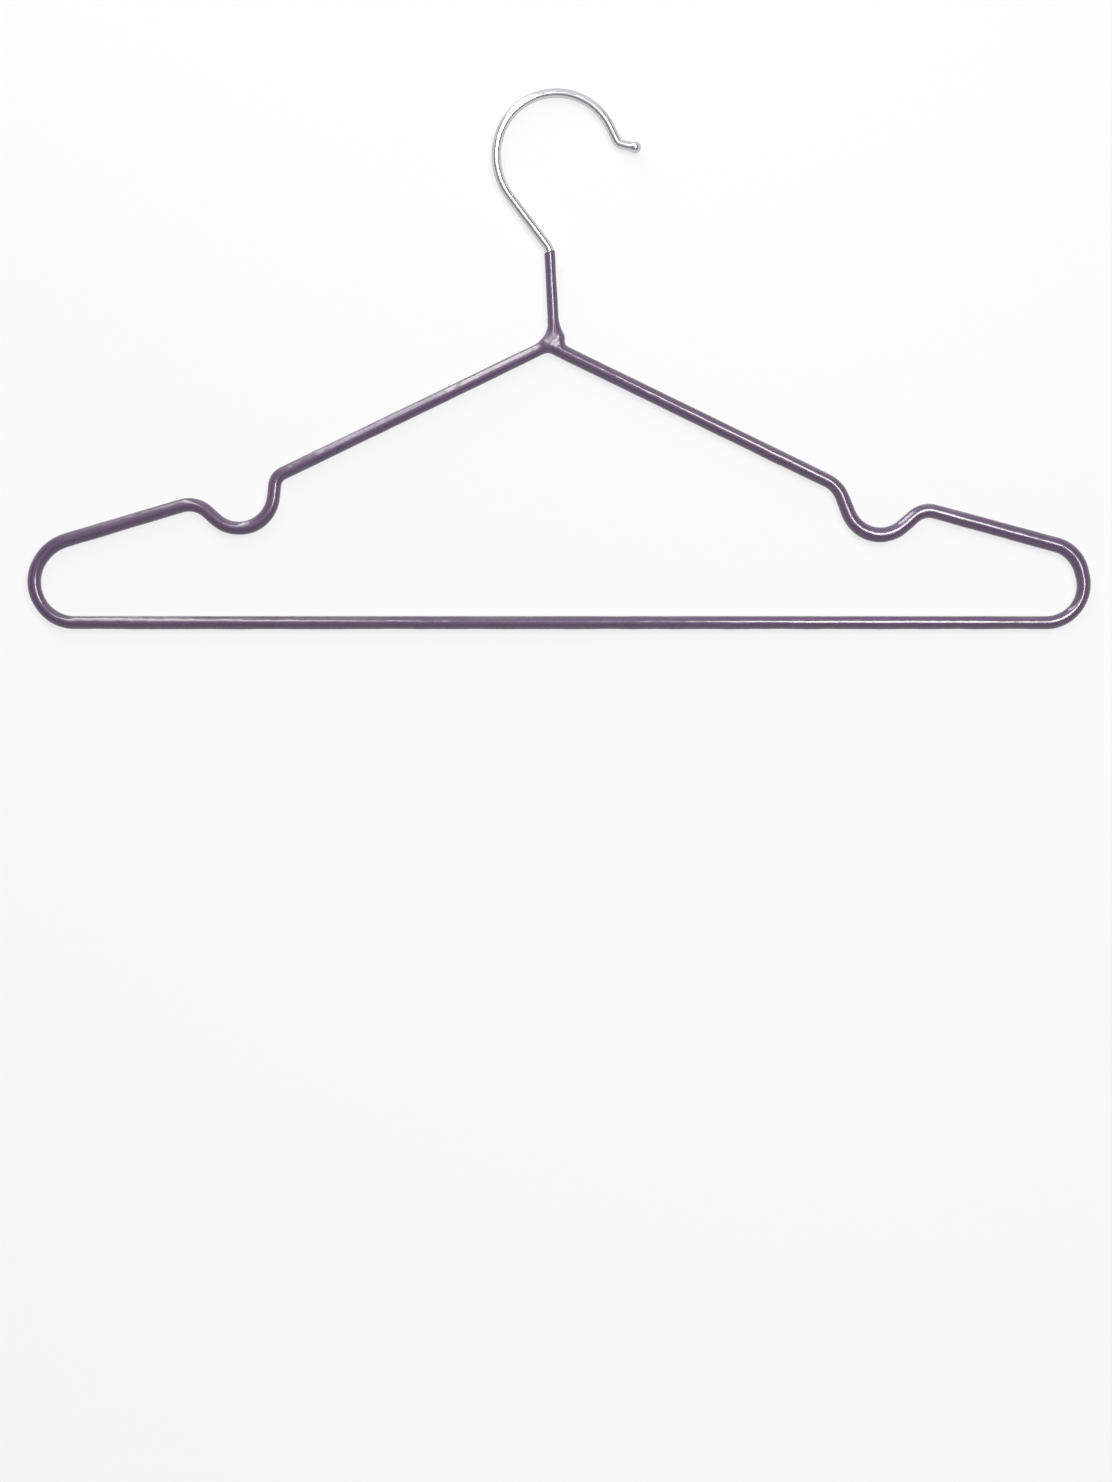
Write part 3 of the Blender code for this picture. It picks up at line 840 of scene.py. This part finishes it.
# %% The joint's strands
NECK_TOP_COAT, NECK_FOOT_COAT = 4.00 * MM, 4.20 * MM
NECK_COAT_LENGTH = 33.4 * MM
ARM_OVERRUN = 3.0 * MM
WELD_SIDE = 3.3 * MM
WELD_FOOT_COAT, SWELLING = 5.0 * MM, 2.65 * MM
FLANK_UP_THE_NECK = 9.0 * MM
FLANK_DROP = Vector((0.8 * MM, 0, -3.7 * MM))
FLANK_RADII = [1.9 * MM, SWELLING - 0.1 * MM, 2.3 * MM]
CORNER_TOP = Vector((0.95 * MM, 0, 4.1 * MM))
CORNER_FOOT = Vector((-1.05 * MM, 0, 1.05 * MM))
CORNER_RADIUS = 1.4 * MM
neck_foot = shank_end + down * FRAME_WIRE / 2
covered = tail_of(hook_line, NECK_COAT_LENGTH + HOOK_WIRE) + [neck_foot]
weld_low = max(apex_arc, key=lambda p: p.z)
weld_high = weld_low + Vector((WELD_SIDE, 0, WELD_SIDE))
middle = len(apex_arc) // 2
arms = []
for side, arc in (("left", apex_arc[middle::-1]), ("right", apex_arc[middle:])):
    far, radius = along_shoulder(side, JOINT_REACH + ARM_OVERRUN)
    arms.append(graded(arc + [far], SHOULDERS[side].coat_at_weld, 2 * radius))
flank_top = tail_of(hook_line + [neck_foot], FLANK_UP_THE_NECK)[0]
strands = [
    graded(covered, NECK_TOP_COAT, NECK_FOOT_COAT),
    *arms,
    graded([weld_low, weld_high], WELD_FOOT_COAT, 2 * SWELLING),
    ([flank_top, weld_high, weld_high + FLANK_DROP], FLANK_RADII),
    even([apex + CORNER_TOP, apex + CORNER_FOOT], CORNER_RADIUS),
]
print("strands:", ", ".join(STRANDS))

# %% [markdown]
# The grid has to hold the whole joint with room to spare. Its voxels are a quarter of a millimetre,
# which is fine enough for the lip.

# %% Making the joint
WEB, CREASE = 4.4 * MM, 1.2 * MM
LIP_ROUNDING, LIP_TILT = 0.3 * MM, math.radians(18)
VOXEL = 0.25 * MM
GRID_HALF_DEPTH, GRID_UNDER, GRID_OVER = 4 * MM, 13 * MM, 3 * MM
lip = tail_of(hook_line, NECK_COAT_LENGTH)[0]
reach = JOINT_REACH + ARM_OVERRUN
joint = mesh_from(
    joint_tree, line_object("joint_strands", *strands), Voxel=VOXEL, Web=WEB, Crease=CREASE,
    Lip_rounding=LIP_ROUNDING, Lip_place=lip,
    Lip_slant=(-math.sin(LIP_TILT), 0, math.cos(LIP_TILT)),
    Low_corner=(apex.x - reach, -GRID_HALF_DEPTH, apex.z - GRID_UNDER),
    High_corner=(apex.x + reach, GRID_HALF_DEPTH, lip.z + GRID_OVER), Finish=pvc,
)
print("joint:", len(joint.vertices), "points")

# %% [markdown]
# ## One skin
#
# The joint's arms are cut square, and each open end is stitched to the sleeve's end ring. A bridge
# tool expects equal rings, and these have different numbers of points. So the stitch walks round
# both by angle and takes whichever point comes next.

# %% Finding and filling open rings
def open_rings(shape):
    """The rings of points along the open edges, each as a list."""
    left = {vert for edge in shape.edges if edge.is_boundary for vert in edge.verts}
    rings = []
    while left:
        waiting, ring = [next(iter(left))], []
        while waiting:
            vert = waiting.pop()
            if vert not in left:
                continue
            left.discard(vert)
            ring.append(vert)
            waiting += [e.other_vert(vert) for e in vert.link_edges if e.is_boundary]
        rings.append(ring)
    return rings


def by_angle(ring, centre, axis):
    """A ring's points with their angles about the axis, in order."""
    across = Vector((0, 1, 0))
    upright = axis.cross(across)
    turns = []
    for vert in ring:
        spoke = vert.co - centre
        turns.append((math.atan2(spoke.dot(upright), spoke.dot(across)), vert))
    return sorted(turns, key=lambda turn: turn[0])


def stitch(shape, one, other):
    """Fills the band between two rings round one axis with triangles."""
    a = b = 0
    while a < len(one) or b < len(other):
        next_a = one[(a + 1) % len(one)][0] + math.tau * ((a + 1) // len(one))
        next_b = other[(b + 1) % len(other)][0] + math.tau * ((b + 1) // len(other))
        here_a, here_b = one[a % len(one)][1], other[b % len(other)][1]
        if b == len(other) or (a < len(one) and next_a < next_b):
            a += 1
            shape.faces.new((here_a, here_b, one[a % len(one)][1]))
        else:
            b += 1
            shape.faces.new((here_a, here_b, other[b % len(other)][1]))


# %% [markdown]
# Cut and stitched, with all faces outward, the two are one closed skin with no open edge left.

# %% Stitching the joint to the sleeve
NEAR_THE_CUT = 10.0 * MM
shape = bmesh.new()
shape.from_mesh(joint)
for shoulder in SHOULDERS.values():
    out = (shoulder.corner - apex).normalized()
    everything = [*shape.verts, *shape.edges, *shape.faces]
    bmesh.ops.bisect_plane(shape, geom=everything, plane_co=apex + out * JOINT_REACH, plane_no=out,
                           clear_outer=True)
shape.from_mesh(sleeve)
rings = open_rings(shape)
print("open rings:", sorted(len(ring) for ring in rings))
for shoulder in SHOULDERS.values():
    out = (shoulder.corner - apex).normalized()
    centre = apex + out * JOINT_REACH
    near = [ring for ring in rings if (ring[0].co - centre).length < NEAR_THE_CUT]
    stitch(shape, *(by_angle(ring, centre, out) for ring in sorted(near, key=len)))
bmesh.ops.triangulate(shape, faces=[f for f in shape.faces if len(f.verts) > 4])
bmesh.ops.recalc_face_normals(shape, faces=shape.faces)
for face in shape.faces:
    face.smooth = True
    face.material_index = 0
print("open edges left:", sum(edge.is_boundary for edge in shape.edges))
print("skin's volume, mm3:", round(shape.calc_volume() / MM**3))
skin = bpy.data.meshes.new("one_skin")
shape.to_mesh(skin)
shape.free()

# %% [markdown]
# A dip never sets quite even. It sags into long shallow lumps, more on its underside, where it
# drained. The tree moves the skin along its normals by two noises, a long one and a short one.

# %% A tree for an uneven dip
SAG_HEIGHT, SAG_SIZE = 0.09 * MM, 14 * MM
RIPPLE_HEIGHT, RIPPLE_SIZE = 0.03 * MM, 3.5 * MM
BOTH_WAYS = (-1.0, 1.0)
MOST_OF_THE_NOISE = (0.2, 0.8)
LESS_ABOVE = (1.5, 0.5)
tree, size = geometry_tree("uneven_dip", Sag_height="Float", Sag_size="Float",
                           Ripple_height="Float", Ripple_size="Float", Finish="Material")
place = step(tree, "GeometryNodeInputPosition").outputs[0]
normal = step(tree, "GeometryNodeInputNormal").outputs[0]
upward = step(tree, "ShaderNodeSeparateXYZ", {0: normal}).outputs["Z"]
more_below = spread(tree, upward, LESS_ABOVE, BOTH_WAYS)


def swing(size_of, height_of):
    """A noise of this size that swings by this height either way."""
    value = noise(tree, place, scale=sum_of(tree, "DIVIDE", 1.0, size_of), detail=1.0)
    return sum_of(tree, "MULTIPLY", spread(tree, value, BOTH_WAYS, MOST_OF_THE_NOISE), height_of)


sag = sum_of(tree, "MULTIPLY", swing(size["Sag size"], size["Sag height"]), more_below)
lift = sum_of(tree, "ADD", sag, swing(size["Ripple size"], size["Ripple height"]))
moves = {"Geometry": size["Geometry"], "Offset": scaled(tree, normal, lift)}
moved = step(tree, "GeometryNodeSetPosition", moves).outputs[0]
end_tree(tree, moved, size["Finish"])
coat = put_in_scene("dipped_coat", mesh_from(
    tree, put_in_scene("even_coat", skin), Sag_height=SAG_HEIGHT, Sag_size=SAG_SIZE,
    Ripple_height=RIPPLE_HEIGHT, Ripple_size=RIPPLE_SIZE, Finish=pvc))
print("coat:", len(coat.data.polygons), "faces")

# %% [markdown]
# ## The room inside the coat
#
# The coat is a real skin, so the wires' room is cut out of it, with the play that the CAD pieces
# have. The shank's room opens at the lip. The frame's room is a closed loop inside the skin.

# %% Cutting the room for the wires
BORE_SIDES = 24
CUT_OVERRUN = 1.5 * MM
tree, size = geometry_tree("round_bar", Sides="Int", Finish="Material")
circle = unit_circle(tree, size["Sides"])
thick = step(tree, "GeometryNodeInputRadius").outputs[0]
swept = swept_skin(tree, size["Geometry"], thick, circle, caps=True)
end_tree(tree, swept, size["Finish"])

shank = tail_of(hook_line, NECK_COAT_LENGTH + CUT_OVERRUN)
shank_bar = line_object("shank_line", even(shank, HOOK_WIRE / 2 + PLAY))
frame_bar = line_object("frame_line", even(frame_line, FRAME_WIRE / 2 + PLAY))
frame_bar.data.splines[0].use_cyclic_u = True
frame_room, shank_room = (
    put_in_scene(name, mesh_from(tree, bar, Sides=BORE_SIDES, Finish=pvc))
    for name, bar in (("frame_room", frame_bar), ("shank_room", shank_bar))
)
cut(coat, [frame_room, shank_room, weld_room])
for helper in (frame_room, shank_room, weld_room):
    bpy.data.objects.remove(helper, do_unlink=True)

# %% [markdown]
# ## The place it hangs in
#
# The hanger hangs close to a white wall, so that it keeps a faint soft shadow behind it. A wall lit
# to white takes so much light that the hanger itself would wash out. So only a small part of the
# paint's brightness is lit, and shows the shadow. The rest is given to rays that look at it, from
# the camera or a mirror. Matt surfaces get the light that a real white wall sends back.
#
# A mirror held close to a wall sees its own shade there, so what is given fades for rays that
# start very near. Then the plated wire's back keeps its dark middle line.

# %% A paint that is partly lit and partly given
SHADE_REACH = (1.2 * MM, 3.7 * MM)
SHADE = (0.10, 1.0)


def stage_sheet(name, corners, material):
    """One flat sheet of the setting."""
    mesh = bpy.data.meshes.new(name)
    mesh.from_pydata(corners, [], [tuple(range(len(corners)))])
    mesh.materials.append(material)
    made = put_in_scene(name, mesh)
    return made


def seen_white(tree, share):
    """How much of a surface's white is given to the camera and to mirror rays."""
    path = step(tree, "ShaderNodeLightPath").outputs
    seen = sum_of(tree, "MAXIMUM", path["Is Camera Ray"], path["Is Glossy Ray"])
    seen = sum_of(tree, "MAXIMUM", seen, path["Is Transmission Ray"])
    return sum_of(tree, "MULTIPLY", seen, share)


def paint(name, lit_share, given_share, bounce=0.0, one_sided=False):
    """A matt finish: the white that is lit, that is given to what looks, and to matt things."""
    made = bpy.data.materials.new(name)
    made.use_nodes = True
    tree = made.node_tree
    tree.nodes.clear()
    lit = step(tree, "ShaderNodeBsdfDiffuse", {"Color": (lit_share, lit_share, lit_share, 1)})
    path = step(tree, "ShaderNodeLightPath").outputs
    shade = spread(tree, path["Ray Length"], SHADE, SHADE_REACH)
    seen = sum_of(tree, "MULTIPLY", seen_white(tree, given_share), shade)
    strength = sum_of(tree, "MULTIPLY_ADD", path["Is Diffuse Ray"], bounce, seen)
    given = step(tree, "ShaderNodeEmission", {"Strength": strength})
    surface = step(tree, "ShaderNodeAddShader", {0: lit.outputs[0], 1: given.outputs[0]}).outputs[0]
    if one_sided:
        clear = step(tree, "ShaderNodeBsdfTransparent").outputs[0]
        behind = step(tree, "ShaderNodeNewGeometry").outputs["Backfacing"]
        surface = step(tree, "ShaderNodeMixShader", {0: behind, 1: surface, 2: clear}).outputs[0]
    step(tree, "ShaderNodeOutputMaterial", {0: surface})
    return made


# %% [markdown]
# The wall is painted on its front only. From behind it is clear, so that the hanger can be looked
# at from all round. The floor has the same paint.

# %% White wall and pale floor
WALL_Y = 3.8 * MM
FLOOR_Z = -0.75
EDGE = 8.0
WALL_LIT, WALL_GIVEN, WALL_BOUNCE = 0.15, 0.79, 0.60
wall_paint = paint("wall_paint", WALL_LIT, WALL_GIVEN, WALL_BOUNCE, one_sided=True)
floor_paint = paint("floor_paint", WALL_LIT, WALL_GIVEN, WALL_BOUNCE)
square = ((-EDGE, -EDGE), (EDGE, -EDGE), (EDGE, EDGE), (-EDGE, EDGE))
stage_sheet("wall", [(x, WALL_Y, max(z, FLOOR_Z)) for x, z in square], wall_paint)
stage_sheet("floor", [(x, y, FLOOR_Z) for x, y in square], floor_paint)
print("wall behind the hanger, mm:", mm(WALL_Y))

# %% [markdown]
# The world is white to the camera and to mirrors, and a plain soft level to everything else.

# %% World
ROOM_LEVEL = 0.15
world = bpy.data.worlds.new("white_room")
world.use_nodes = True
bpy.context.scene.world = world
tree = world.node_tree
extra = seen_white(tree, 1 - ROOM_LEVEL)
tree.nodes["Background"].inputs["Color"].default_value = (1, 1, 1, 1)
tree.links.new(sum_of(tree, "ADD", extra, ROOM_LEVEL), tree.nodes["Background"].inputs["Strength"])
print("room level:", ROOM_LEVEL)

# %% [markdown]
# ## Light
#
# A round wire shows a lamp as a line, and the line lies where the wire's side mirrors it. So each
# lamp is placed by the line that it draws. The front lamp, a little to the right, draws the thin
# lines on the right shoulder, the arms, the bar and the ends. The other two lie side by side over
# the left shoulder, slanted like it: a narrow strip for its sharp gleam and the bar's, and a weaker
# panel for the broad one. Places and widths are in metres, and power is in watts.

# %% Lamps
Lamp = collections.namedtuple("Lamp", "top foot aim width power")
MIDDLE = (0, 0, -0.15)
LEFT_SHOULDER = (-0.03, 0, -0.10)
LAMPS = {
    "front_lamp": Lamp((0.19, -0.95, 0.27), (0.31, -0.95, -0.20), MIDDLE, 0.23, 8.0),
    "left_strip": Lamp((-0.416, -0.02, 0.817), (-0.125, -1.147, 0.236), LEFT_SHOULDER, 0.08, 4.5),
    "left_panel": Lamp((-0.502, -0.02, 0.776), (-0.211, -1.147, 0.195), LEFT_SHOULDER, 0.13, 2.8),
}
for name, lamp in LAMPS.items():
    top, foot, aim = Vector(lamp.top), Vector(lamp.foot), Vector(lamp.aim)
    data = bpy.data.lights.new(name, "AREA")
    data.shape = "RECTANGLE"
    data.size, data.size_y = lamp.width, (top - foot).length
    data.energy = lamp.power
    made = put_in_scene(name, data)
    middle = (top + foot) / 2
    along = (top - foot).normalized()
    across = along.cross(middle - aim).normalized()
    turned = Matrix((across, along, across.cross(along))).transposed().to_4x4()
    made.matrix_world = Matrix.Translation(middle) @ turned
    made.visible_camera = False
    print(name + ":", round(data.size_y, 2), "m long,", round(data.size, 2), "m wide")

# %% [markdown]
# The plated wire mirrors the room, and a mirror in an all-white room has no edges. A trough, open
# at its back and top, stands for the far sides of the room. Its sides and bottom are grey and draw
# the darker lines on the metal. Its front is pale and leaves a lighter line between them. The
# camera doesn't see it.

# %% Grey trough
TROUGH_SIDE = 0.8
TROUGH_NEAR, TROUGH_FAR = -0.32, -1.6
TROUGH_LOW, TROUGH_HIGH = FLOOR_Z + 0.05, 1.1
TROUGH_LIT, GREY_GIVEN, PALE_GIVEN = 0.10, 0.25, 0.70
grey_paint = paint("grey_paint", TROUGH_LIT, GREY_GIVEN)
pale_paint = paint("pale_paint", TROUGH_LIT, PALE_GIVEN)
corners = [(-TROUGH_SIDE, TROUGH_NEAR), (-TROUGH_SIDE, TROUGH_FAR), (TROUGH_SIDE, TROUGH_FAR),
           (TROUGH_SIDE, TROUGH_NEAR)]
sides = (("trough_left", grey_paint), ("trough_front", pale_paint), ("trough_right", grey_paint))
for (name, material), one, other in zip(sides, corners, corners[1:]):
    sheet = [(*one, TROUGH_LOW), (*other, TROUGH_LOW), (*other, TROUGH_HIGH), (*one, TROUGH_HIGH)]
    stage_sheet(name, sheet, material).visible_camera = False
bottom = [(*corner, TROUGH_LOW) for corner in corners]
stage_sheet("trough_bottom", bottom, grey_paint).visible_camera = False
print("trough:", TROUGH_NEAR - TROUGH_FAR, "m deep")

# %% [markdown]
# ## Camera
#
# The camera stands a metre in front of the hanger, level, at the height of the picture's middle.

# %% Camera
EYE = (-0.0001, -1.0, -0.2423)
view = bpy.data.cameras.new("camera")
view.lens = 64.5
view.sensor_width = 36.0
camera = put_in_scene("camera", view)
camera.location = EYE
camera.rotation_euler = (math.pi / 2, 0, 0)
bpy.context.scene.camera = camera
bpy.context.scene.view_settings.view_transform = "Standard"
print("camera:", view.lens, "mm lens, a metre away")

# %% [markdown]
# ## Tying the pieces to the frame
#
# The hanger has no moving parts, so every piece rides on the one body. The new hook and coat stand
# for their CAD nodes. The wire and the weld inside are the CAD nodes themselves.

# %% Tying up
for piece, node, slot in ((hook, "hook", "chrome_hook"), (coat, "pvc_coat", "purple_pvc")):
    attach(piece, "root")
    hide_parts(node)
